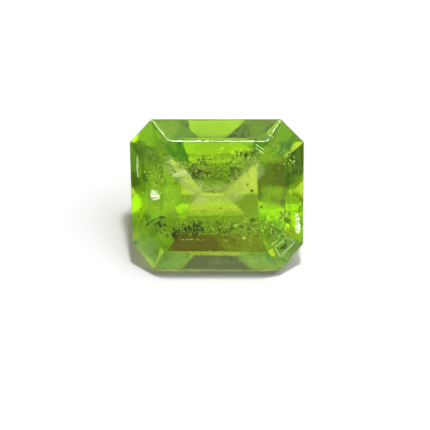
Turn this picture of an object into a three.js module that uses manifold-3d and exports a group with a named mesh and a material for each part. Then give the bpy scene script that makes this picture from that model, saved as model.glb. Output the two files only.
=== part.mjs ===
// A step-cut peridot: one faceted stone, an octagon in plan, lying on a facet of its pavilion.
// Millimetres, +Z up. The stone is cut with its table up and the top of its girdle at height 0,
// and is then turned onto the facet it rests on.
import * as THREE from 'three';
import { mergeVertices } from 'three/addons/utils/BufferGeometryUtils.js';
import Module from 'manifold-3d';

const wasm = await Module();
wasm.setup();

// Driving dimensions
const ROUGH_SIZE = 20; // the block of rough that the stone is cut from, wider than the stone each way
const CROWN_HEIGHT = 0.95; // from the top of the girdle to the table
const GIRDLE_THICKNESS = 0.3;

// Pavilion steps from the girdle down: the slope of each from the girdle's plane in degrees, and
// how far it reaches inwards. The last step of each runs on to the keel or to its neighbours.
const REST_SLOPE = 47;
const FRONT_STEPS = [
  { slope: 51, width: 1.73 },
  { slope: REST_SLOPE, width: 0.9 },
  { slope: 40, width: 0.97 },
  { slope: 34.6 },
];
const BACK_STEPS = [{ slope: 50.7, width: 1.43 }, { slope: 49.8, width: 0.95 }, { slope: 36.1 }];
const LEFT_STEPS = [{ slope: 53.3, width: 1.64 }, { slope: 49.8, width: 0.9 }, { slope: 36.6 }];
const RIGHT_STEPS = [{ slope: 50.3, width: 1.57 }, { slope: 48.6, width: 0.76 }, { slope: 35.8 }];
const FRONT_CORNER_STEPS = [{ slope: 47.3, width: 1.28 }, { slope: 46.3 }];
const BACK_CORNER_STEPS = [{ slope: 50.3, width: 1.69 }, { slope: 47.6 }];

// The eight sides of the girdle, by the direction that each faces in degrees, counted from +X
// towards +Y, its distance from the middle, and how far its crown facet reaches inwards. The stone
// was cut by eye: no two corners are alike, and the left end leans a little.
const GIRDLE_SIDES = [
  { faces: -0.2, reach: 4.48, crown: 1.0, steps: RIGHT_STEPS },
  { faces: 45.1, reach: 5.12, crown: 1.28, steps: BACK_CORNER_STEPS },
  { faces: 90, reach: 3.93, crown: 1.06, steps: BACK_STEPS },
  { faces: 136.7, reach: 5.17, crown: 1.4, steps: BACK_CORNER_STEPS },
  { faces: 181.4, reach: 4.44, crown: 0.95, steps: LEFT_STEPS },
  { faces: 217, reach: 4.94, crown: 1.06, steps: FRONT_CORNER_STEPS },
  { faces: 270, reach: 3.89, crown: 1.05, steps: FRONT_STEPS },
  { faces: 318.8, reach: 5.03, crown: 1.19, steps: FRONT_CORNER_STEPS },
];

// Two shallow facets that carry the back corners on to the keel, as two narrow bands. Each would
// meet the plane of the girdle at its reach, far outside the stone.
const KEEL_CORNERS = [
  { faces: 45, slope: 26.8, reach: 8.75 },
  { faces: 135, slope: 30.3, reach: 7.91 },
];

const UP = new THREE.Vector3(0, 0, 1);
const { degToRad, radToDeg } = THREE.MathUtils;

// A closed three.js geometry as a solid that can be cut.
function solidOf(geometry) {
  geometry.deleteAttribute('normal');
  geometry.deleteAttribute('uv');
  const merged = mergeVertices(geometry);
  const mesh = new wasm.Mesh({
    numProp: 3,
    vertProperties: new Float32Array(merged.attributes.position.array),
    triVerts: new Uint32Array(merged.index.array),
  });
  return new wasm.Manifold(mesh);
}

// A solid back as a three.js geometry with flat facets.
function geometryOf(solid) {
  const mesh = solid.getMesh();
  const shared = new THREE.BufferGeometry();
  shared.setAttribute('position', new THREE.BufferAttribute(mesh.vertProperties, 3));
  shared.setIndex(new THREE.BufferAttribute(mesh.triVerts, 1));
  const faceted = shared.toNonIndexed();
  faceted.computeVertexNormals();
  return faceted;
}

// The lap that grinds a facet: a triangular prism that stands on the facet's plane and is far wider
// than the stone. Its base is a single triangle, so it leaves no stray points along a facet's edges.
function lapGeometry() {
  const corners = [90, 210, 330].map((turn) => {
    return new THREE.Vector2(4 * ROUGH_SIZE, 0).rotateAround(new THREE.Vector2(), degToRad(turn));
  });
  return new THREE.ExtrudeGeometry(new THREE.Shape(corners), { depth: ROUGH_SIZE, bevelEnabled: false });
}

// Grinds away all that lies outside one plane. The plane passes through the point at the given
// reach and height on the side that it faces, and its outward normal leans from straight up by
// lean degrees: 0 for the table, 90 for the girdle, and more than that for the pavilion.
function grind(solid, { faces, lean, reach, height }) {
  const side = degToRad(faces);
  const tip = degToRad(lean);
  const outward = new THREE.Vector3(
    Math.cos(side) * Math.sin(tip),
    Math.sin(side) * Math.sin(tip),
    Math.cos(tip),
  );
  const lap = lapGeometry();
  lap.applyQuaternion(new THREE.Quaternion().setFromUnitVectors(UP, outward));
  lap.translate(Math.cos(side) * reach, Math.sin(side) * reach, height);
  return solid.subtract(solidOf(lap));
}

// Every facet of one side of the stone: its stretch of girdle, its crown facet and its steps.
function facetsOfSide({ faces, reach, crown, steps }) {
  const facets = [
    { faces, lean: 90, reach, height: 0 },
    { faces, lean: radToDeg(Math.atan2(CROWN_HEIGHT, crown)), reach, height: 0 },
  ];
  let inward = reach;
  let height = -GIRDLE_THICKNESS;
  for (const { slope, width = 0 } of steps) {
    facets.push({ faces, lean: 180 - slope, reach: inward, height });
    inward -= width;
    height -= width * Math.tan(degToRad(slope));
  }
  return facets;
}

function cutStone() {
  const table = { faces: 0, lean: 0, reach: 0, height: CROWN_HEIGHT };
  const keelCorners = KEEL_CORNERS.map(({ faces, slope, reach }) => {
    return { faces, lean: 180 - slope, reach, height: 0 };
  });
  const rough = solidOf(new THREE.BoxGeometry(ROUGH_SIZE, ROUGH_SIZE, ROUGH_SIZE));
  return [table, ...GIRDLE_SIDES.flatMap(facetsOfSide), ...keelCorners].reduce(grind, rough);
}

const peridot = new THREE.MeshStandardMaterial({ color: '#7fb32b', roughness: 0.05, metalness: 0 });
const stone = new THREE.Mesh(geometryOf(cutStone()), peridot);
stone.name = 'peridot_stone';

// Laid on the middle step of its front side, and set down with that facet at height 0 and the
// middle of its box over the origin.
stone.rotation.x = degToRad(REST_SLOPE);
stone.updateMatrixWorld();
const extent = new THREE.Box3().setFromObject(stone, true);
const middle = extent.getCenter(new THREE.Vector3());
stone.position.set(-middle.x, -middle.y, -extent.min.z);

const gem = new THREE.Group();
gem.add(stone);

export default gem;
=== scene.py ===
"""A step-cut peridot with its natural inclusions, lying on one pavilion facet on white paper.

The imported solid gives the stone's exact place and facets. Its mesh is copied, its edges are worn
round, and the mineral grains, needles and healed cracks that grew in the crystal are set inside it.
"""
import math
from typing import NamedTuple

import bmesh
import bpy
import numpy as np
from bpy.props import FloatProperty, FloatVectorProperty, PointerProperty
from mathutils import Euler, Matrix, Vector, noise


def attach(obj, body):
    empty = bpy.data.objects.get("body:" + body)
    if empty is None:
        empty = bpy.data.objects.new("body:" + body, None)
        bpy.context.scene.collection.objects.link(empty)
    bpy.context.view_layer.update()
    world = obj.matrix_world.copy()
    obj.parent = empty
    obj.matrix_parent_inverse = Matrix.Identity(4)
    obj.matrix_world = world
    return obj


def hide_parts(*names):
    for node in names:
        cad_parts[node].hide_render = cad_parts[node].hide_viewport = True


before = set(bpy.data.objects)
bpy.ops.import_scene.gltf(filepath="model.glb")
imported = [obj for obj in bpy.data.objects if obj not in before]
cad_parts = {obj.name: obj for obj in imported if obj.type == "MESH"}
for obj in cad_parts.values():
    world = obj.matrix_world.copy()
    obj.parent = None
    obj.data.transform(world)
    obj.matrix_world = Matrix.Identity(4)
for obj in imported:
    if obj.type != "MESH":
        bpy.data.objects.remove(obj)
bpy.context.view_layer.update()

bl_info = {
    "name": "Step-cut peridot",
    "version": (1, 0, 0),
    "blender": (4, 5, 0),
    "location": "3D View > Sidebar > Peridot",
    "description": "Finishes a step-cut peridot and its inclusions around the packed solid",
    "category": "Add Mesh",
}

MM = 0.001

# Where the stone's own frame lies: its table faces its own +Z, and its origin is in the middle of
# the stone at the top of the girdle.
REST_SLOPE = math.radians(47)
STONE_ORIGIN = Vector((0.0095, -0.3617, 3.2413)) * MM
STONE_FRAME = Matrix.Translation(STONE_ORIGIN) @ Matrix.Rotation(REST_SLOPE, 4, "X")
TABLE_HEIGHT = 0.95  # above the top of the girdle, in millimetres
GIRDLE_THICKNESS = 0.3
LONG_SIDE = 9.0  # of the girdle, in millimetres


def in_stone(right, far, depth):
    """A point of the row frame in metres, from millimetres right of the stone's middle, towards its
    far side, and below the table."""
    return STONE_FRAME @ (Vector((right, far, TABLE_HEIGHT - depth)) * MM)


def towards(azimuth, elevation):
    """The direction that lies azimuth degrees round from the far side, clockwise from above, and
    elevation degrees up."""
    turn, rise = math.radians(azimuth), math.radians(elevation)
    return Vector((math.sin(turn) * math.cos(rise), math.cos(turn) * math.cos(rise), math.sin(rise)))


# Settings


class CrystalSettings(bpy.types.PropertyGroup):
    """The peridot itself."""

    ior: FloatProperty(
        name="Refractive index",
        description="Peridot lies between 1.65 and 1.69",
        default=1.67,
        min=1.0,
        max=2.5,
    )
    absorption: FloatVectorProperty(
        name="Absorption",
        description="How much red, green and blue light the crystal takes out, per metre",
        default=(72.0, 14.0, 600.0),
        size=3,
        min=0.0,
        max=10000.0,
    )
    worn_edge: FloatProperty(
        name="Worn edge",
        description="How wide the edges between facets are worn round",
        default=0.06 * MM,
        min=0.0,
        max=0.001,
        unit="LENGTH",
    )
    polish_waves: FloatProperty(
        name="Polish waves",
        description="How high the polish of the facets waves",
        default=0.002 * MM,
        min=0.0,
        max=0.0001,
        precision=6,
        unit="LENGTH",
    )
    girdle: FloatVectorProperty(
        name="Girdle",
        description="Tint of the rough, bruted girdle",
        default=(0.3, 0.36, 0.2),
        subtype="COLOR",
        min=0.0,
        max=1.0,
    )


class InclusionSettings(bpy.types.PropertyGroup):
    """The paler colour of each thing that grew in the crystal. Each is clouded with a darker one."""

    grains: FloatVectorProperty(
        name="Mineral grains",
        description="Colour of the dark minerals where they are palest",
        default=(0.07, 0.11, 0.025),
        subtype="COLOR",
        min=0.0,
        max=1.0,
    )
    plates: FloatVectorProperty(
        name="Crack plates",
        description="Colour that the flat cracks mirror",
        default=(0.93, 0.97, 0.80),
        subtype="COLOR",
        min=0.0,
        max=1.0,
    )
    flakes: FloatVectorProperty(
        name="Pale flakes",
        description="Colour of the matt flakes among the cracks",
        default=(0.85, 0.95, 0.62),
        subtype="COLOR",
        min=0.0,
        max=1.0,
    )
    needles: FloatVectorProperty(
        name="Needles",
        description="Colour of the long thin crystals",
        default=(0.92, 0.98, 0.80),
        subtype="COLOR",
        min=0.0,
        max=1.0,
    )
    milky: FloatVectorProperty(
        name="Milky veils",
        description="Colour of the droplets in the milky healed cracks",
        default=(0.80, 0.86, 0.68),
        subtype="COLOR",
        min=0.0,
        max=1.0,
    )
    # the lime colour of these droplets is painted light: it stands for light glowing inside the stone
    bright: FloatVectorProperty(
        name="Bright veils",
        description="Colour of the droplets in the green healed cracks",
        default=(0.52, 0.82, 0.05),
        subtype="COLOR",
        min=0.0,
        max=1.0,
    )


class StudioSettings(bpy.types.PropertyGroup):
    """The paper, the light and the camera."""

    paper: FloatVectorProperty(
        name="Paper",
        description="Colour of the paper as the camera sees it",
        default=(0.47, 0.47, 0.47),
        subtype="COLOR",
        min=0.0,
        max=1.0,
    )
    soft_white: FloatVectorProperty(
        name="Soft white",
        description="Colour of the paper as it lights the stone and shows through it",
        default=(0.46, 0.46, 0.46),
        subtype="COLOR",
        min=0.0,
        max=1.0,
    )
    camera_elevation: FloatProperty(
        name="Camera elevation",
        description="How steeply the camera looks down on the stone",
        default=math.radians(48.7),
        unit="ROTATION",
    )
    field_of_view: FloatProperty(
        name="Field of view",
        description="Angle that the picture takes in",
        default=math.radians(12),
        unit="ROTATION",
    )


# Node trees


class Socket:
    """One output of a node tree. Arithmetic on it adds the Math nodes that work it out."""

    def __init__(self, tree, output):
        self.tree, self.output = tree, output

    def __add__(self, other):
        return self.tree.maths("ADD", self, other)

    def __radd__(self, other):
        return self.tree.maths("ADD", other, self)

    def __sub__(self, other):
        return self.tree.maths("SUBTRACT", self, other)

    def __rsub__(self, other):
        return self.tree.maths("SUBTRACT", other, self)

    def __mul__(self, other):
        return self.tree.maths("MULTIPLY", self, other)

    def __rmul__(self, other):
        return self.tree.maths("MULTIPLY", other, self)

    def beside(self, name):
        """Another output of the same node."""
        return Socket(self.tree, self.output.node.outputs[name])


class Tree:
    """A tree of nodes, for a material, the room or grown shapes, built one node at a time."""

    def __init__(self, nodes_of):
        self.tree = nodes_of

    def add(self, kind, settings=None, inputs=None, output=0):
        """Adds a node with its settings, then its sockets' values or links, and gives one output."""
        node = self.tree.nodes.new(kind)
        for name, value in (settings or {}).items():
            setattr(node, name, value)
        for socket, value in (inputs or {}).items():
            self.feed(node.inputs[socket], value)
        return Socket(self, node.outputs[output])

    def feed(self, socket, value):
        if isinstance(value, Socket):
            self.tree.links.new(value.output, socket)
        else:
            socket.default_value = value

    def maths(self, operation, first, second):
        return self.add("ShaderNodeMath", {"operation": operation}, {0: first, 1: second})

    def vectors(self, operation, first, second, output=0):
        kind = {"operation": operation}
        return self.add("ShaderNodeVectorMath", kind, {0: first, 1: second}, output)

    def vector(self, x, y, z):
        return self.add("ShaderNodeCombineXYZ", {}, {0: x, 1: y, 2: z})

    def blend(self, share, first, second):
        """A colour that goes from first to second as share goes from 0 to 1."""
        ends = {6: first, 7: second}
        opaque = {socket: (*c, 1) if isinstance(c, tuple) else c for socket, c in ends.items()}
        return self.add("ShaderNodeMix", {"data_type": "RGBA"}, {0: share, **opaque}, output=2)

    def clouding(self, grain, detail):
        """Noise from 0 to 1 on the object's own coordinates, with patches about grain metres wide."""
        place = self.add("ShaderNodeTexCoord", output="Object")
        return self.add("ShaderNodeTexNoise", {}, {0: place, "Scale": 1 / grain, "Detail": detail})

    def ramp(self, value, low, high):
        """0 where value is below low, 1 where it is above high, and a smooth way between them."""
        kind = {"interpolation_type": "SMOOTHSTEP"}
        return self.add("ShaderNodeMapRange", kind, {0: value, 1: low, 2: high})


POLISH_WAVE_WIDTH = 0.9 * MM
CLOUD_WIDTH = 0.06 * MM  # of the lighter and darker patches on an inclusion


def new_material(name):
    """A new material with its tree and its Principled shader."""
    material = bpy.data.materials.new(name)
    material.use_nodes = True
    return material, Tree(material.node_tree), material.node_tree.nodes["Principled BSDF"]


def crystal_material(name, settings, roughness, tint=(1, 1, 1), waves=0.0):
    """Clear peridot that takes up light on its way through. tint colours only its surface, and waves
    is how high the polish waves, in metres."""
    material, tree, surface = new_material(name)
    surface.inputs["Base Color"].default_value = (*tint, 1)
    surface.inputs["Transmission Weight"].default_value = 1
    surface.inputs["IOR"].default_value = settings.ior
    surface.inputs["Roughness"].default_value = roughness
    if waves:
        height = tree.clouding(POLISH_WAVE_WIDTH, detail=1.0) * waves
        bump = tree.add("ShaderNodeBump", {}, {"Distance": 1.0, "Height": height})
        tree.feed(surface.inputs["Normal"], bump)
    # The shader takes out density times what is missing of each colour, and a hair of each is left.
    density = 1.02 * max(settings.absorption)
    passed = (*(1 - taken / density for taken in settings.absorption), 1)
    body = tree.add("ShaderNodeVolumeAbsorption", {}, {"Color": passed, "Density": density})
    tree.feed(material.node_tree.nodes["Material Output"].inputs["Volume"], body)
    return material


def solid_material(name, pale, dark, roughness, further=None):
    """A solid inclusion, clouded between two colours. further gives more of the shader's sockets."""
    material, tree, surface = new_material(name)
    patches = tree.ramp(tree.clouding(CLOUD_WIDTH, detail=2.0), 0.35, 0.65)
    tree.feed(surface.inputs["Base Color"], tree.blend(patches, dark, tuple(pale)))
    surface.inputs["Roughness"].default_value = roughness
    for socket, value in (further or {}).items():
        surface.inputs[socket].default_value = value
    return material


# The stone

CORNER_WELD = 0.03 * MM  # corners of facets nearer than this are one corner
FLAT = math.radians(1)  # triangles that meet at less than this are one facet
GIRDLE_SLANT = 0.02  # a facet is girdle where its normal rises less than this towards the table
FACETS, EDGES, GIRDLE = range(3)  # the stone's material slots
POLISHED, WORN, BRUTED = 0.05, 0.12, 0.4  # how rough the facets, the worn edges and the girdle are
WEAR_FACES = 4  # narrow faces that round off one edge
WEAR_FROM = math.radians(3)  # facets that meet at more than this have a worn edge between them


def whole_facets(node):
    """A copy of a CAD solid's loose triangles as whole facets that share their corners."""
    body = bmesh.new()
    body.from_mesh(node.data)
    bmesh.ops.remove_doubles(body, verts=body.verts, dist=CORNER_WELD)
    bmesh.ops.dissolve_degenerate(body, edges=body.edges, dist=CORNER_WELD)
    bmesh.ops.dissolve_limit(body, angle_limit=FLAT, verts=body.verts, edges=body.edges)
    bmesh.ops.recalc_face_normals(body, faces=body.faces)
    return body


def as_piece(name, mesh):
    """Puts a finished mesh in the scene as a piece of the one rigid stone."""
    piece = bpy.data.objects.new(name, mesh)
    bpy.context.scene.collection.objects.link(piece)
    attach(piece, "root")
    return piece


class PERIDOT_OT_cut_stone(bpy.types.Operator):
    """Cut stone: whole facets with worn edges and a bruted girdle"""

    bl_idname = "peridot.cut_stone"
    bl_label = "Cut stone"

    def execute(self, context):
        settings = context.scene.peridot_crystal
        body = whole_facets(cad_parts["peridot_stone"])
        table = STONE_FRAME.to_3x3() @ Vector((0, 0, 1))
        for facet in body.faces:
            facet.material_index = GIRDLE if abs(facet.normal.dot(table)) < GIRDLE_SLANT else FACETS
        mesh = bpy.data.meshes.new("cut_peridot")
        body.to_mesh(mesh)
        body.free()
        for material in (
            crystal_material("polished_facet", settings, POLISHED, waves=settings.polish_waves),
            crystal_material("worn_edge", settings, WORN),
            crystal_material("bruted_girdle", settings, BRUTED, tint=settings.girdle),
        ):
            mesh.materials.append(material)
        rough = bpy.data.objects.new("rough", mesh)
        context.scene.collection.objects.link(rough)
        wear = rough.modifiers.new("wear", "BEVEL")
        wear.width = settings.worn_edge
        wear.segments = WEAR_FACES
        wear.limit_method = "ANGLE"
        wear.angle_limit = WEAR_FROM
        wear.material = EDGES
        finished = rough.evaluated_get(context.evaluated_depsgraph_get())
        worn = bpy.data.meshes.new_from_object(finished)
        worn.name = "cut_peridot"
        bpy.data.objects.remove(rough)
        stone = as_piece("cut_peridot", worn)
        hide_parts("peridot_stone")
        return {"FINISHED"}


# What grew inside the stone

CLEAR_OF_FACETS = 0.02 * MM  # how far every inclusion keeps from the facets


class Cloud(NamedTuple):
    """Little crystals strewn around one place in the stone, in millimetres and degrees."""

    middle: tuple  # right of the stone's middle, towards its far side, and below the table
    spread: tuple  # how far the cloud reaches from its middle, along the same three directions
    count: int
    smallest: float
    largest: float
    lean: tuple = (0, 0, 0)  # how the crystals are turned
    wander: float = 180  # how far each may turn away from that


# Grains of dark minerals
GRAIN_CLOUDS = (
    # clusters at the far side of the table
    Cloud((-0.95, 1.35, 1.2), (0.50, 0.60, 0.4), 34, 0.06, 0.17),
    Cloud((-0.60, 1.80, 1.3), (0.90, 0.45, 0.4), 16, 0.05, 0.13),
    Cloud((1.50, 2.13, 1.0), (0.70, 0.45, 0.4), 30, 0.05, 0.14),
    Cloud((0.95, 1.20, 1.3), (0.35, 0.45, 0.4), 20, 0.06, 0.15),
    # clusters at its near side
    Cloud((-2.02, -2.00, 1.2), (0.42, 0.26, 0.2), 26, 0.07, 0.18),
    Cloud((-1.20, -1.85, 1.4), (0.95, 0.45, 0.5), 26, 0.05, 0.14),
    Cloud((0.30, -1.80, 1.4), (1.10, 0.50, 0.5), 24, 0.05, 0.13),
    Cloud((1.90, -1.60, 1.1), (0.60, 0.60, 0.5), 12, 0.05, 0.13),
    Cloud((2.60, -2.00, 1.0), (0.50, 0.50, 0.4), 10, 0.05, 0.14),
    # finer grains, deeper and all through the stone
    Cloud((0.00, 1.40, 1.7), (2.40, 1.20, 0.9), 34, 0.04, 0.10),
    Cloud((0.00, -1.80, 1.8), (2.60, 0.90, 0.8), 26, 0.04, 0.10),
    Cloud((0.00, 0.00, 1.6), (3.80, 3.10, 1.3), 50, 0.03, 0.08),
    # clusters in the near corners, the last one inside the clear tabular crystal
    Cloud((-2.90, -1.55, 1.3), (0.80, 0.60, 0.4), 26, 0.05, 0.16),
    Cloud((3.10, -1.30, 1.1), (0.90, 1.00, 0.4), 26, 0.05, 0.14),
    Cloud((3.36, -2.56, 0.95), (0.24, 0.22, 0.05), 12, 0.08, 0.16),
    # larger grains, alone or in threes
    Cloud((1.56, 0.62, 0.6), (0.02, 0.02, 0.1), 1, 0.12, 0.13),
    Cloud((1.76, 0.26, 0.8), (0.08, 0.08, 0.1), 3, 0.10, 0.15),
    Cloud((1.82, -1.24, 1.0), (0.07, 0.10, 0.1), 3, 0.13, 0.18),
    Cloud((0.21, -0.64, 1.2), (0.02, 0.02, 0.1), 1, 0.09, 0.10),
    Cloud((-2.28, -0.16, 0.9), (0.02, 0.02, 0.1), 1, 0.10, 0.11),
    Cloud((1.30, -1.55, 1.0), (0.10, 0.08, 0.1), 3, 0.10, 0.15),
    Cloud((2.30, -0.55, 0.9), (0.03, 0.02, 0.1), 1, 0.12, 0.13),
    # a further cluster at the near left
    Cloud((-1.28, -1.78, 1.1), (0.72, 0.42, 0.3), 44, 0.06, 0.15),
)

# Thin plates: small cracks and cleavage flakes
FLECK_CLOUDS = (
    # two bright spots, near the left edge of the table and at the right edge of the stone: their
    # plates are turned so that they mirror one bright patch of the room to the camera
    Cloud((-3.22, 0.08, 0.10), (0.18, 0.26, 0.02), 42, 0.12, 0.26, (-15.1, 7.9, 0), 3),
    Cloud((4.14, -1.50, 0.80), (0.10, 0.50, 0.02), 50, 0.14, 0.26, (-15.3, 30.1, 0), 3),
    # among the grains at the far side, then at the near side
    Cloud((-2.10, 1.45, 0.9), (0.60, 0.50, 0.3), 26, 0.10, 0.26),
    Cloud((-0.90, 1.45, 1.1), (0.85, 0.70, 0.5), 60, 0.06, 0.18),
    Cloud((1.50, 1.90, 0.9), (1.05, 0.65, 0.4), 70, 0.07, 0.20),
    Cloud((0.20, 1.60, 1.3), (1.70, 0.70, 0.6), 50, 0.06, 0.16),
    Cloud((-1.20, -1.70, 1.3), (1.40, 0.55, 0.5), 46, 0.05, 0.14),
    Cloud((-1.25, -2.28, 1.1), (0.85, 0.03, 0.1), 16, 0.08, 0.14),
    Cloud((1.50, -1.70, 1.1), (1.40, 0.80, 0.5), 80, 0.06, 0.20),
    Cloud((3.20, -1.60, 0.9), (0.80, 1.00, 0.4), 26, 0.08, 0.22),
    # at both ends and all through the stone
    Cloud((-3.00, 0.90, 0.8), (0.70, 0.90, 0.4), 20, 0.06, 0.16),
    Cloud((3.60, 1.80, 0.8), (0.40, 0.80, 0.3), 16, 0.06, 0.16),
    Cloud((0.00, 0.00, 1.6), (4.00, 3.40, 1.3), 120, 0.03, 0.10),
)

# Needles
NEEDLE_CLOUDS = (
    # four along the rim of a clear tabular crystal
    Cloud((3.02, -2.82, 0.80), (0, 0, 0), 1, 0.71, 0.72, (90, 0, 33), 0),
    Cloud((3.61, -2.74, 0.82), (0, 0, 0), 1, 1.07, 1.08, (90, 0, 134), 0),
    Cloud((3.71, -2.21, 0.80), (0, 0, 0), 1, 0.65, 0.66, (90, 0, 61), 0),
    Cloud((3.13, -2.29, 0.78), (0, 0, 0), 1, 0.76, 0.77, (90, 0, 128), 0),
    # sheaves and single ones
    Cloud((2.25, 2.45, 0.30), (0.18, 0.12, 0.05), 3, 0.35, 0.50, (90, 0, 55), 12),
    Cloud((-1.85, 1.22, 0.25), (0.22, 0.12, 0.05), 4, 0.50, 0.80, (90, 0, -66), 10),
    Cloud((-2.48, 1.80, 0.30), (0.12, 0.12, 0.05), 4, 0.25, 0.40, (90, 0, 20), 60),
    Cloud((3.42, -0.92, 0.7), (0.20, 0.20, 0.1), 4, 0.20, 0.40, (90, 0, -40), 15),
    Cloud((-4.05, 1.50, 0.7), (0.10, 0.60, 0.1), 5, 0.30, 0.70, (90, 0, 0), 5),
    Cloud((2.70, -2.00, 0.9), (0.60, 0.60, 0.2), 6, 0.18, 0.40, (90, 0, -40), 70),
    Cloud((0.00, 0.60, 1.5), (3.40, 2.60, 1.0), 30, 0.12, 0.32),
)


class Veil(NamedTuple):
    """A healed crack: a wavy sheet of tiny droplets, in millimetres and degrees."""

    middle: tuple  # as a cloud's
    size: tuple
    lean: tuple  # how the sheet is turned out of the table's plane
    per_square: float  # droplets per square millimetre where the veil is thickest


MILKY_VEILS = (
    # the milky arch in the middle
    Veil((-1.95, 1.25, 0.5), (2.3, 0.9), (4, 6, -43), 5000),
    Veil((-0.95, 0.45, 0.6), (1.3, 0.9), (-4, 3, -35), 4600),
    Veil((0.00, 0.12, 0.5), (2.9, 1.1), (5, 0, 3), 5800),
    Veil((1.55, 1.05, 0.5), (2.1, 1.1), (-4, -5, 38), 4700),
    # thin ones through the rest of the stone
    Veil((-1.60, 1.25, 1.3), (2.4, 1.6), (20, 25, -35), 440),
    Veil((1.40, 1.70, 1.2), (2.0, 1.5), (-15, -25, 20), 440),
    Veil((0.10, 1.20, 1.9), (4.0, 2.0), (12, 0, 5), 320),
    Veil((-0.20, -1.45, 1.7), (5.0, 1.2), (-8, 0, 5), 350),
    Veil((1.45, -1.70, 1.2), (1.7, 1.7), (25, 10, 20), 480),
    Veil((3.30, -1.80, 1.1), (1.5, 1.5), (30, 40, 10), 550),
    Veil((-3.10, -1.70, 1.2), (1.8, 1.8), (30, -40, 0), 650),
    Veil((0.90, -3.00, 1.3), (3.4, 0.8), (60, 0, 3), 580),
    Veil((3.90, 1.60, 1.1), (0.9, 2.0), (10, 50, 0), 510),
    Veil((-3.20, 1.60, 1.2), (1.6, 1.8), (10, -50, 0), 440),
)
# Healed veils whose lime droplets are painted light, the glow of light inside the stone
PAINTED_GLOW_VEILS = (
    # below and above the dark reflection at the right
    Veil((2.90, -0.05, 0.6), (1.35, 1.45), (3, -3, 0), 5220),
    Veil((2.80, 2.15, 0.6), (1.60, 1.00), (-3, 3, 0), 2320),
    # at both ends
    Veil((3.90, -0.15, 0.9), (0.90, 1.60), (0, 30, 0), 1300),
    Veil((-3.25, -0.20, 0.4), (0.80, 2.00), (-3, 2, 0), 4640),
    Veil((-2.45, -0.20, 0.5), (0.80, 1.80), (3, -2, 0), 4350),
    # over the right half of the brown reflection
    Veil((1.30, -2.45, 0.8), (2.60, 0.90), (2, 0, 0), 1400),
)

THICKNESS = "thickness"  # the name under which a veil's sheet carries it
SHEET_SQUARES = 24  # along each side of a sheet
THIN_RIM = 0.35  # share of the way in from its rim over which a sheet thins out
SHEET_WAVE = 0.35  # how high a sheet waves, in millimetres
WAVES_PER_MM = 1.1
WAVES_APART = 7.3  # between the stretches of noise that two sheets wave by
HEALED_PATCHES_PER_MM = 1.6  # how fine the patches are that have healed clear
HEALED_RIM = 0.1  # how soft their rims are
SMALLEST_DROPLET, LARGEST_DROPLET = 0.010, 0.032  # in millimetres
DROPLET_FLATNESS = 0.45
DROPLET_SEGMENTS, DROPLET_RINGS = 3, 2
DROPLET_CORNERS = DROPLET_SEGMENTS * (DROPLET_RINGS - 1) + 2


def growing_tree(name, sockets):
    """An empty tree for grown shapes with its named inputs, and the socket of each."""
    group = bpy.data.node_groups.new(name, "GeometryNodeTree")
    for title, kind in sockets.items():
        group.interface.new_socket(title, in_out="INPUT", socket_type="NodeSocket" + kind)
    group.interface.new_socket("Geometry", in_out="OUTPUT", socket_type="NodeSocketGeometry")
    tree = Tree(group)
    given = group.nodes.new("NodeGroupInput")
    return tree, {title: Socket(tree, given.outputs[title]) for title in sockets}


def close_tree(tree, instances, material):
    """Ends a tree: its instances are made real and get their material."""
    real = tree.add("GeometryNodeRealizeInstances", {}, {0: instances})
    painted = tree.add("GeometryNodeSetMaterial", {}, {0: real, "Material": material})
    tree.feed(tree.tree.nodes.new("NodeGroupOutput").inputs[0], painted)
    return tree.tree


def strewn_tree():
    """Prisms strewn through a cloud that is thickest in its middle."""
    sockets = {
        "Middle": "Vector", "Spread": "Vector", "Count": "Int", "Smallest": "Float", "Largest": "Float",
        "Lean": "Vector", "Wander": "Float", "Sides": "Int", "Shape": "Vector", "Seed": "Int",
        "Material": "Material",
    }
    tree, given = growing_tree("strewn_crystals", sockets)

    def drawn(step):
        inputs = {0: (-1.0, -1.0, -1.0), 1: (1.0, 1.0, 1.0), "Seed": given["Seed"] + step}
        return tree.add("FunctionNodeRandomValue", {"data_type": "FLOAT_VECTOR"}, inputs)

    both = tree.vectors("ADD", drawn(0), drawn(1))
    reach = tree.vectors("MULTIPLY", both, given["Spread"])
    halved = tree.vectors("MULTIPLY", reach, (0.5, 0.5, 0.5))
    place = tree.vectors("ADD", halved, given["Middle"])
    points = tree.add("GeometryNodePoints", {}, {"Count": given["Count"], "Position": place})
    prism = tree.add(
        "GeometryNodeMeshCylinder",
        {"fill_type": "NGON"},
        {"Vertices": given["Sides"], "Radius": 0.5, "Depth": 1.0},
    )
    wander = tree.vector(given["Wander"], given["Wander"], given["Wander"])
    turn = tree.vectors("ADD", tree.vectors("MULTIPLY", drawn(2), wander), given["Lean"])
    inputs = {2: given["Smallest"], 3: given["Largest"], "Seed": given["Seed"] + 3}
    size = tree.add("FunctionNodeRandomValue", {"data_type": "FLOAT"}, inputs, output=1)
    scale = tree.vectors("MULTIPLY", tree.vector(size, size, size), given["Shape"])
    inputs = {"Points": points, "Instance": prism, "Rotation": turn, "Scale": scale}
    return close_tree(tree, tree.add("GeometryNodeInstanceOnPoints", {}, inputs), given["Material"])


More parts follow.
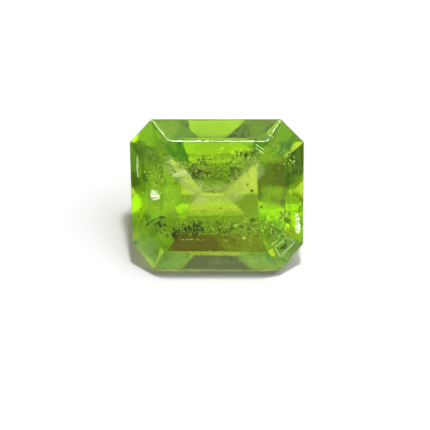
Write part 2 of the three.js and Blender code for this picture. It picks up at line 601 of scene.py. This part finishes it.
def veil_tree():
    """Flat droplets on a sheet, fewer where it is thin and missing where it has healed clear."""
    sockets = {
        "Geometry": "Geometry", "Density": "Float", "Patch": "Float", "Clear": "Float",
        "Smallest": "Float", "Largest": "Float", "Seed": "Int", "Material": "Material",
    }
    tree, given = growing_tree("veil_droplets", sockets)
    place = tree.add("GeometryNodeInputPosition")
    where = tree.add("ShaderNodeTexNoise", {}, {0: place, "Scale": given["Patch"], "Detail": 3.0})
    thickness = tree.add("GeometryNodeInputNamedAttribute", {"data_type": "FLOAT"}, {"Name": THICKNESS})
    left = tree.ramp(where - given["Clear"], -HEALED_RIM, HEALED_RIM)
    density = left * given["Density"] * thickness
    inputs = {"Mesh": given["Geometry"], "Density": density, "Seed": given["Seed"]}
    strewn = tree.add("GeometryNodeDistributePointsOnFaces", {}, inputs)
    inputs = {"Segments": DROPLET_SEGMENTS, "Rings": DROPLET_RINGS, "Radius": 0.5}
    droplet = tree.add("GeometryNodeMeshUVSphere", {}, inputs)
    inputs = {2: given["Smallest"], 3: given["Largest"], "Seed": given["Seed"] + 1}
    size = tree.add("FunctionNodeRandomValue", {"data_type": "FLOAT"}, inputs, output=1)
    scale = tree.vector(size, size, size * DROPLET_FLATNESS)
    inputs = {"Points": strewn, "Instance": droplet, "Rotation": strewn.beside("Rotation"), "Scale": scale}
    return close_tree(tree, tree.add("GeometryNodeInstanceOnPoints", {}, inputs), given["Material"])


def grown(group, values, host=None):
    """The plain mesh that a tree grows from these inputs."""
    seedling = bpy.data.objects.new("seedling", host or bpy.data.meshes.new("seedling"))
    bpy.context.scene.collection.objects.link(seedling)
    grower = seedling.modifiers.new("grower", "NODES")
    grower.node_group = group
    for item in group.interface.items_tree:
        if item.in_out == "INPUT" and item.name in values:
            grower[item.identifier] = values[item.name]
    depsgraph = bpy.context.evaluated_depsgraph_get()
    mesh = bpy.data.meshes.new_from_object(seedling.evaluated_get(depsgraph))
    bpy.data.objects.remove(seedling)
    return mesh


def millimetres(values):
    return tuple(value * MM for value in values)


def local_place(middle):
    """A place given as right, far and depth, in the stone's own frame and in metres."""
    right, far, depth = middle
    return millimetres((right, far, TABLE_HEIGHT - depth))


def kept_inside(mesh, corners):
    """Turns grown shapes of so many corners each into the row frame, and leaves out each one that
    comes too near to a facet."""
    mesh.transform(STONE_FRAME)
    places = np.empty(len(mesh.vertices) * 3, np.float32)
    mesh.vertices.foreach_get("co", places)
    normals, reaches = facet_planes()
    room = reaches - places.reshape(-1, 3) @ normals.T
    inside = room.reshape(-1, corners, len(reaches)).min(axis=(1, 2)) > CLEAR_OF_FACETS
    shapes = bmesh.new()
    shapes.from_mesh(mesh)
    outside = np.repeat(~inside, corners)
    spare = [vertex for vertex, gone in zip(shapes.verts, outside) if gone]
    bmesh.ops.delete(shapes, geom=spare, context="VERTS")
    shapes.to_mesh(mesh)
    shapes.free()
    return mesh


def facet_planes():
    """The outward normal of each facet of the stone, and how far out it lies."""
    body = whole_facets(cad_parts["peridot_stone"])
    normals = np.array([facet.normal for facet in body.faces])
    reaches = np.array([facet.normal.dot(facet.verts[0].co) for facet in body.faces])
    body.free()
    return normals, reaches


def joined(name, meshes, material):
    """Several meshes as one piece of the stone."""
    whole = bmesh.new()
    for mesh in meshes:
        whole.from_mesh(mesh)
        bpy.data.meshes.remove(mesh)
    mesh = bpy.data.meshes.new(name)
    whole.to_mesh(mesh)
    whole.free()
    mesh.materials.append(material)
    return as_piece(name, mesh)


def strew(name, clouds, material, sides, shape, seed):
    """One piece of all the crystals of one kind."""
    tree = strewn_tree()
    meshes = []
    for number, cloud in enumerate(clouds):
        values = {
            "Middle": local_place(cloud.middle),
            "Spread": millimetres(cloud.spread),
            "Count": cloud.count,
            "Smallest": cloud.smallest * MM,
            "Largest": cloud.largest * MM,
            "Lean": tuple(math.radians(angle) for angle in cloud.lean),
            "Wander": math.radians(cloud.wander),
            "Sides": sides,
            "Shape": shape,
            "Seed": seed + 10 * number,
            "Material": material,
        }
        meshes.append(kept_inside(grown(tree, values), 2 * sides))
    return joined(name, meshes, material)


def wavy_sheet(veil, number):
    """The sheet that a veil's droplets lie on, in the stone's own frame. It thins out to its rim."""
    sheet = bmesh.new()
    bmesh.ops.create_grid(sheet, x_segments=SHEET_SQUARES, y_segments=SHEET_SQUARES, size=0.5)
    thickness = sheet.verts.layers.float.new(THICKNESS)
    lean = Euler([math.radians(angle) for angle in veil.lean]).to_matrix()
    middle = Vector(local_place(veil.middle))
    for vertex in sheet.verts:
        # 0 in the middle and 1 at the rim, along an oval with full corners
        to_rim = 2 * (vertex.co.x**4 + vertex.co.y**4) ** 0.25
        vertex[thickness] = min(1.0, max(0.0, (1 - to_rim) / THIN_RIM))
        flat = Vector((vertex.co.x * veil.size[0], vertex.co.y * veil.size[1], 0))
        wave = noise.noise(flat * WAVES_PER_MM + Vector((0, 0, number * WAVES_APART)))
        vertex.co = middle + lean @ (flat + Vector((0, 0, SHEET_WAVE * wave))) * MM
    mesh = bpy.data.meshes.new("sheet")
    sheet.to_mesh(mesh)
    sheet.free()
    return mesh


def spread_veils(name, veils, material, clear, seed):
    """One piece of all the veils of one kind. clear says how much of them has healed clear, from
    hardly anything at 0.2 to nearly all of it at 0.8."""
    tree = veil_tree()
    meshes = []
    for number, veil in enumerate(veils):
        values = {
            "Density": veil.per_square / MM**2,
            "Patch": HEALED_PATCHES_PER_MM / MM,
            "Clear": clear,
            "Smallest": SMALLEST_DROPLET * MM,
            "Largest": LARGEST_DROPLET * MM,
            "Seed": seed + number,
            "Material": material,
        }
        droplets = grown(tree, values, host=wavy_sheet(veil, number))
        meshes.append(kept_inside(droplets, DROPLET_CORNERS))
    return joined(name, meshes, material)


class PERIDOT_OT_mineral_grains(bpy.types.Operator):
    """Mineral grains: dark crystals strewn in clouds and single larger ones"""

    bl_idname = "peridot.mineral_grains"
    bl_label = "Mineral grains"

    def execute(self, context):
        mineral = solid_material(
            "dark_mineral",
            pale=context.scene.peridot_inclusions.grains,
            dark=(0.010, 0.016, 0.005),
            roughness=0.2,
            further={"Transmission Weight": 0.25, "IOR": 1.35},
        )
        strew("mineral_grains", GRAIN_CLOUDS, mineral, sides=5, shape=(1.0, 0.8, 0.75), seed=100)
        return {"FINISHED"}


class PERIDOT_OT_crack_plates(bpy.types.Operator):
    """Crack plates: small flat cracks that mirror the light inside the stone, and pale flakes"""

    bl_idname = "peridot.crack_plates"
    bl_label = "Crack plates"

    def execute(self, context):
        crack = solid_material(
            "air_crack",
            pale=context.scene.peridot_inclusions.plates,
            dark=(0.75, 0.85, 0.55),
            roughness=0.18,
            further={"Metallic": 1},
        )
        strew("crack_plates", FLECK_CLOUDS, crack, sides=6, shape=(1.0, 0.7, 0.08), seed=500)
        flake = solid_material(
            "pale_flake",
            pale=context.scene.peridot_inclusions.flakes,
            dark=(0.55, 0.72, 0.30),
            roughness=0.3,
        )
        strew("pale_flakes", FLECK_CLOUDS, flake, sides=5, shape=(0.8, 0.45, 0.12), seed=1500)
        return {"FINISHED"}


class PERIDOT_OT_needles(bpy.types.Operator):
    """Needles: long thin crystals in sheaves and single ones"""

    bl_idname = "peridot.needles"
    bl_label = "Needles"

    def execute(self, context):
        needle = solid_material(
            "pale_needle",
            pale=context.scene.peridot_inclusions.needles,
            dark=(0.75, 0.88, 0.55),
            roughness=0.25,
        )
        strew("needles", NEEDLE_CLOUDS, needle, sides=5, shape=(0.09, 0.09, 1.0), seed=900)
        return {"FINISHED"}


class PERIDOT_OT_healed_veils(bpy.types.Operator):
    """Healed veils: sheets of tiny droplets left by cracks that grew shut, the green ones coloured with
    painted glow
    """

    bl_idname = "peridot.healed_veils"
    bl_label = "Healed veils"

    def execute(self, context):
        milky = solid_material(
            "milky_droplet",
            pale=context.scene.peridot_inclusions.milky,
            dark=(0.45, 0.55, 0.28),
            roughness=0.4,
        )
        spread_veils("milky_veils", MILKY_VEILS, milky, clear=0.46, seed=50)
        # the green veils' lime colour is painted glow
        bright = solid_material(
            "painted_glow_droplet",
            pale=context.scene.peridot_inclusions.bright,
            dark=(0.33, 0.60, 0.03),
            roughness=0.4,
        )
        spread_veils("painted_glow_veils", PAINTED_GLOW_VEILS, bright, clear=0.36, seed=150)
        return {"FINISHED"}


# The studio


class Patch(NamedTuple):
    """A soft patch of light or shade on the walls and ceiling of the room, in degrees."""

    azimuth: float
    elevation: float
    reach: float  # from its middle to where it has faded out
    colour: tuple


# A separate program found ROOM_LIGHT and every patch that isn't marked as set by hand. It searched
# for the room that brings the stone's colours nearest the photograph's. So this is no plain studio,
# and the stone's likeness in the camera's view rests on it.
ROOM_LIGHT = 0.46
ROOM_PATCHES = (
    # each lies over the ones before it
    Patch(-150, 76, 63, (2.98, 2.98, 2.98)),  # the widest
    Patch(-175, 46, 16, (0.13, 0.13, 0.13)),  # dark, round the camera's place
    Patch(-171, 22, 18, (0.20, 0.20, 0.20)),
    Patch(-170, 51, 8, (3.22, 3.22, 3.22)),
    Patch(160, 44, 11, (0.70, 0.70, 0.70)),
    Patch(-90, 87, 50, (1.42, 1.42, 1.42)),
    Patch(-110, 70, 42, (0.70, 0.70, 0.70)),
    Patch(-8, 69, 14, (0.13, 0.04, 0.03)),  # given, seen as the brown band at the near side
    Patch(-11, 28, 32, (0.14, 0.14, 0.14)),
    Patch(-154, 33, 27, (0.16, 0.16, 0.16)),
    Patch(161, 8, 30, (0.31, 0.31, 0.31)),
    Patch(119, 34, 52, (0.41, 0.41, 0.41)),
    Patch(-94, 27, 49, (0.25, 0.25, 0.25)),
    Patch(-166, 68, 21, (0.31, 0.31, 0.31)),
    Patch(164, 62, 12, (1.17, 1.17, 1.17)),
    Patch(-35, 64, 8, (0.34, 0.34, 0.34)),
    Patch(-167, 41, 15, (0.49, 0.49, 0.49)),
    Patch(72, 63, 15, (2.37, 2.37, 2.37)),  # mirrored in the plates of the two bright spots
    Patch(119, 77, 13, (0.45, 0.45, 0.45)),
    Patch(167, 27, 13, (0.38, 0.38, 0.38)),
    Patch(-62, 71, 12, (0.58, 0.58, 0.58)),
    Patch(20, 62, 12, (0.45, 0.45, 0.45)),
    Patch(0, 57, 11, (1.15, 1.10, 0.74)),  # given, mirrored in the far crown facet
    Patch(-108, 12, 15, (0.15, 0.15, 0.15)),  # given
    Patch(0, 40, 14, (0.10, 0.10, 0.10)),  # given
    Patch(180, 37, 12, (0.41, 0.41, 0.25)),  # given, mirrored in the table
)


class Lamp(NamedTuple):
    """A square soft lamp that faces the stone, in degrees, metres and watts."""

    name: str
    azimuth: float
    elevation: float
    side: float
    power: float


LAMP_DISTANCE = 0.25
THROUGH_GAIN = 2.4  # how much stronger the lamps shine through the stone than straight
# These light the paper and what lies inside the stone.
LAMPS = (
    Lamp("ceiling", 32, 81, 0.03, 0.78),
    Lamp("window", 86, 62, 0.14, 0.34),
)
# These are only mirrored, as thin glints along the far edge of the table and the two ridges there.
GLINTS = (
    Lamp("far_edge", 0, 87, 0.045, 0.62),
    Lamp("left_ridge", -43, 62, 0.06, 0.50),
    Lamp("right_ridge", 41, 60, 0.06, 0.50),
)


def hang(lamp, name, shines=None):
    """Hangs a lamp. It can be made to shine only on light paths whose count of scattering surfaces,
    such as paper, is GREATER_THAN or LESS_THAN a half."""
    light = bpy.data.lights.new(name, "AREA")
    light.size, light.energy = lamp.side, lamp.power
    if shines:
        light.use_nodes = True
        tree = Tree(light.node_tree)
        scattered = tree.add("ShaderNodeLightPath", output="Diffuse Depth")
        strength = light.node_tree.nodes["Emission"].inputs["Strength"]
        tree.feed(strength, tree.maths(shines, scattered, 0.5))
    holder = bpy.data.objects.new(name, light)
    bpy.context.scene.collection.objects.link(holder)
    away = towards(lamp.azimuth, lamp.elevation)
    holder.location = STONE_ORIGIN + away * LAMP_DISTANCE
    holder.rotation_euler = (-away).to_track_quat("-Z", "Y").to_euler()
    return holder


def hang_lamps():
    """Whoever looks through the stone sees the soft room and no lamp. What is scattered by the paper
    or by an inclusion has been lit by the lamps, straight or through the stone."""
    for lamp in GLINTS:
        glint = hang(lamp, lamp.name, "LESS_THAN")
        glint.visible_diffuse = glint.visible_transmission = False
    for lamp in LAMPS:
        straight = hang(lamp, lamp.name)
        straight.visible_glossy = straight.visible_transmission = False
        through = hang(lamp, lamp.name + "_through_stone", "GREATER_THAN")
        through.data.energy *= THROUGH_GAIN
        through.visible_glossy = through.visible_diffuse = False


def paint_room():
    """The room as the stone sees it, with soft patches over each other, and plain white as the
    camera sees it behind the paper."""
    world = bpy.data.worlds.new("room")
    world.use_nodes = True
    tree = Tree(world.node_tree)
    direction = tree.add("ShaderNodeTexCoord", output="Generated")
    colour = (ROOM_LIGHT,) * 3
    for patch in ROOM_PATCHES:
        middle = tuple(towards(patch.azimuth, patch.elevation))
        facing = tree.vectors("DOT_PRODUCT", direction, middle, output="Value")
        share = tree.ramp(facing, math.cos(math.radians(patch.reach)), 1.0)
        colour = tree.blend(share, colour, patch.colour)
    seen = tree.add("ShaderNodeLightPath", output="Is Camera Ray")
    white_behind = tree.blend(seen, colour, (1.0, 1.0, 1.0))
    tree.feed(world.node_tree.nodes["Background"].inputs["Color"], white_behind)
    bpy.context.scene.world = world


PAPER_SIDE = 3.0  # metres
PAPER_GAP = 0.01 * MM  # below the stone, so that their faces don't share one plane
# From where to where the paper darkens for the stone, in metres from the stone's middle, sideways
# and towards the camera. The camera sees it white, and nothing in the photograph shows it: it was set
# for the colours at the stone's ends and near side.
PAINTED_SHADE_ASIDE = (0.010, 0.024)
PAINTED_SHADE_IN_FRONT = (0.003, 0.006)
# painted shade: the darker colour that the stone sees on the paper at both sides and towards the camera
PAINTED_SHADE = (0.07, 0.07, 0.07)


def lay_paper(settings):
    """The paper. The camera sees one even colour, which the lamps bring to white. The stone is lit by
    a slightly softer one, with painted shade further out at both sides and towards the camera."""
    mesh = bpy.data.meshes.new("paper")
    half = PAPER_SIDE / 2
    corners = [(-half, -half), (half, -half), (half, half), (-half, half)]
    mesh.from_pydata([(x, y, -PAPER_GAP) for x, y in corners], [], [(0, 1, 2, 3)])
    paper = bpy.data.objects.new("paper", mesh)
    bpy.context.scene.collection.objects.link(paper)
    material, tree, surface = new_material("white_paper")
    seen = tree.add("ShaderNodeLightPath", output="Is Camera Ray")
    right = tree.add("ShaderNodeSeparateXYZ", {}, {0: tree.add("ShaderNodeTexCoord", output="Object")})
    aside = tree.ramp(tree.maths("ABSOLUTE", right, 0.0), *PAINTED_SHADE_ASIDE)
    in_front = tree.ramp(0.0 - right.beside("Y"), *PAINTED_SHADE_IN_FRONT)
    # painted shade on the paper at both sides and towards the camera, which the camera never sees
    unseen = tree.blend(aside, tuple(settings.soft_white), PAINTED_SHADE)
    unseen = tree.blend(in_front, unseen, PAINTED_SHADE)
    tree.feed(surface.inputs["Base Color"], tree.blend(seen, unseen, tuple(settings.paper)))
    surface.inputs["Roughness"].default_value = 0.9
    surface.inputs["Specular IOR Level"].default_value = 0.0
    mesh.materials.append(material)


PHOTO_SIDE = 430  # pixels
LONG_SIDE_IN_PHOTO = 173.5  # pixels
STONE_IN_PHOTO = (2, 20)  # pixels right of the picture's middle and above it


def place_camera(settings):
    """The camera in front of the stone, looking down on its table."""
    camera = bpy.data.cameras.new("camera")
    holder = bpy.data.objects.new("camera", camera)
    bpy.context.scene.collection.objects.link(holder)
    camera.angle = settings.field_of_view
    camera.clip_start = MM
    picture_width = LONG_SIDE * MM * PHOTO_SIDE / LONG_SIDE_IN_PHOTO
    distance = picture_width / (2 * math.tan(settings.field_of_view / 2))
    away = towards(180, math.degrees(settings.camera_elevation))
    girdle_middle = in_stone(0, 0, TABLE_HEIGHT + GIRDLE_THICKNESS / 2)
    holder.location = girdle_middle + away * distance
    holder.rotation_euler = (-away).to_track_quat("-Z", "Y").to_euler()
    camera.shift_x = -STONE_IN_PHOTO[0] / PHOTO_SIDE
    camera.shift_y = -STONE_IN_PHOTO[1] / PHOTO_SIDE
    bpy.context.scene.camera = holder


LIGHT_BOUNCES = 32  # light is thrown to and fro between the facets


class PERIDOT_OT_studio(bpy.types.Operator):
    """Studio: white paper, soft lights, the room and the camera"""

    bl_idname = "peridot.studio"
    bl_label = "Studio"

    def execute(self, context):
        settings = context.scene.peridot_studio
        lay_paper(settings)
        place_camera(settings)
        hang_lamps()
        paint_room()
        context.scene.view_settings.view_transform = "Standard"
        cycles = context.scene.cycles
        cycles.max_bounces = cycles.transmission_bounces = cycles.glossy_bounces = LIGHT_BOUNCES
        cycles.transparent_max_bounces = LIGHT_BOUNCES
        return {"FINISHED"}


# The panel and the run


class PERIDOT_PT_panel(bpy.types.Panel):
    """The peridot's settings and the buttons that make it"""

    bl_label = "Peridot"
    bl_space_type = "VIEW_3D"
    bl_region_type = "UI"
    bl_category = "Peridot"

    def draw(self, context):
        for group in SETTINGS:
            settings = getattr(context.scene, group)
            box = self.layout.box()
            for name in settings.__annotations__:
                box.prop(settings, name)
        for maker in MAKERS:
            self.layout.operator(maker.bl_idname)


MAKERS = (
    PERIDOT_OT_cut_stone,
    PERIDOT_OT_mineral_grains,
    PERIDOT_OT_crack_plates,
    PERIDOT_OT_needles,
    PERIDOT_OT_healed_veils,
    PERIDOT_OT_studio,
)
SETTINGS = {
    "peridot_crystal": CrystalSettings,
    "peridot_inclusions": InclusionSettings,
    "peridot_studio": StudioSettings,
}
CLASSES = (*SETTINGS.values(), *MAKERS, PERIDOT_PT_panel)


def register():
    for made in CLASSES:
        bpy.utils.register_class(made)
    for name, group in SETTINGS.items():
        setattr(bpy.types.Scene, name, PointerProperty(type=group))


def unregister():
    for name in SETTINGS:
        delattr(bpy.types.Scene, name)
    for made in reversed(CLASSES):
        bpy.utils.unregister_class(made)


def main():
    register()
    for maker in MAKERS:
        family, act = maker.bl_idname.split(".")
        getattr(getattr(bpy.ops, family), act)()


if __name__ == "__main__":
    main()
